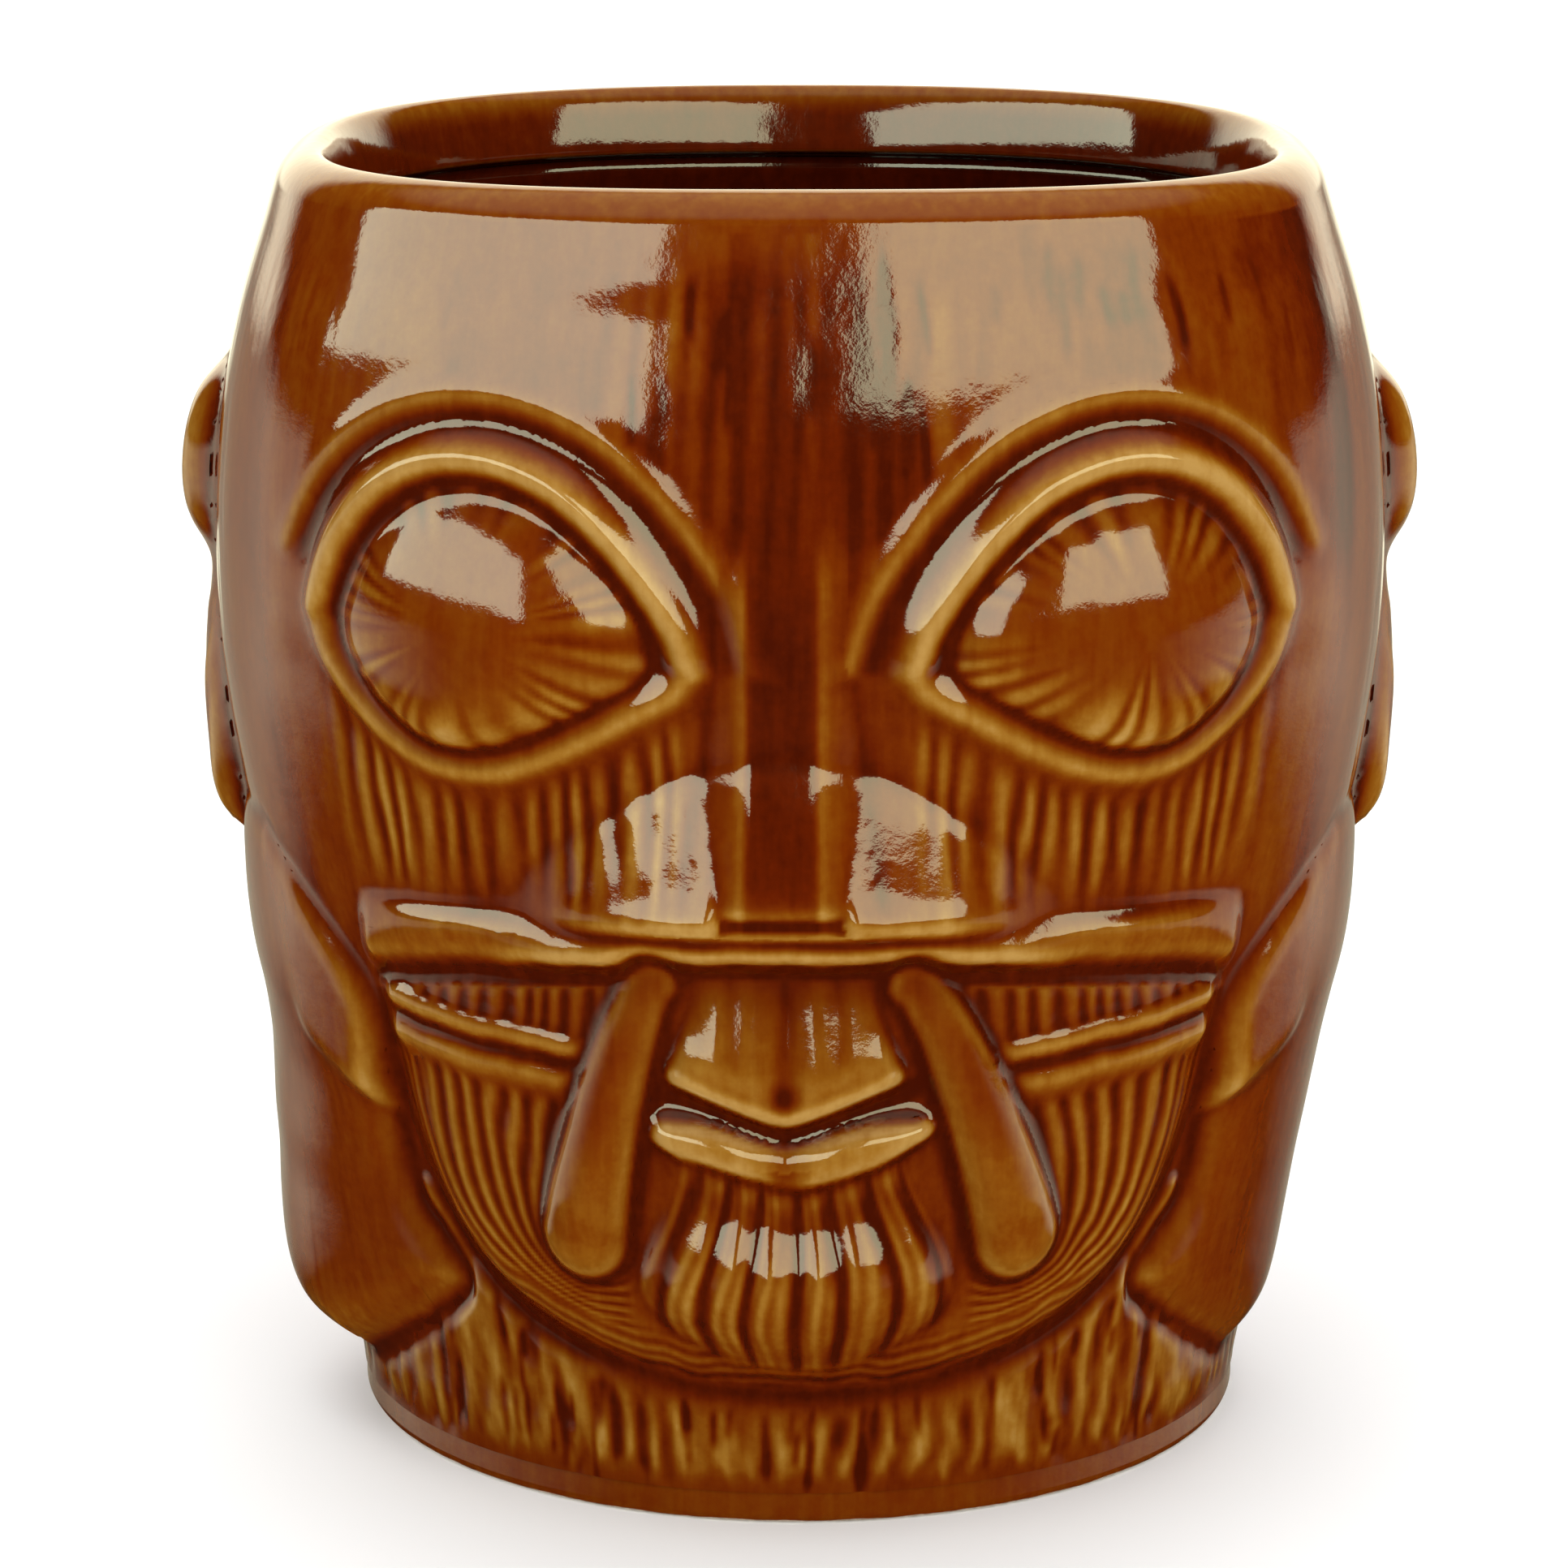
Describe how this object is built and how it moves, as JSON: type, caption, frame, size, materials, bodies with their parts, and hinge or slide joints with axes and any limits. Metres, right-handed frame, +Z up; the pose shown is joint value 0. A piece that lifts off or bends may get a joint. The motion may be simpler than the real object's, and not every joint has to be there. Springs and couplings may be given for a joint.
{
  "type": "tiki mug",
  "caption": "Glazed ceramic drinking mug shaped as a carved tiki mask, with big almond eyes, tusks at the mouth, side ears and a plain round foot.",
  "frame": {"origin": "middle of the foot, on the table", "axes": "+Z up out of the mouth, the mask looks along -Y, +X to the right of someone who faces the mask"},
  "size_m": [0.0966, 0.0902, 0.1],
  "materials": {
    "treacle_glaze": "glossy transparent brown glaze that pools dark in grooves",
    "honey_glaze": "the same glossy glaze, thinner and lighter over raised edges",
    "dark_glaze": "the same glossy glaze, thick and red-brown",
    "bare_clay": "matt unglazed stoneware, wiped clean of glaze"
  },
  "bodies": {
    "root": {"foot_ring": "bare_clay", "vessel_floor": "treacle_glaze", "vessel_wall": "treacle_glaze", "rim_lip": "treacle_glaze", "neck_collar": "treacle_glaze", "jaw_plate": "treacle_glaze", "beard": "honey_glaze", "upper_lip": "honey_glaze", "lower_lip": "honey_glaze", "mouth_ridge": "honey_glaze", "teeth_left": "honey_glaze", "teeth_right": "honey_glaze", "tusk_left": "treacle_glaze", "tusk_right": "treacle_glaze", "nose": "dark_glaze", "eyeball_left": "honey_glaze", "eyeball_right": "honey_glaze", "eyelid_left": "honey_glaze", "eyelid_right": "honey_glaze", "brow_left": "treacle_glaze", "brow_right": "treacle_glaze", "ear_left": "treacle_glaze", "ear_right": "treacle_glaze", "earlobe_left": "treacle_glaze", "earlobe_right": "treacle_glaze"}
  },
  "joints": []
}
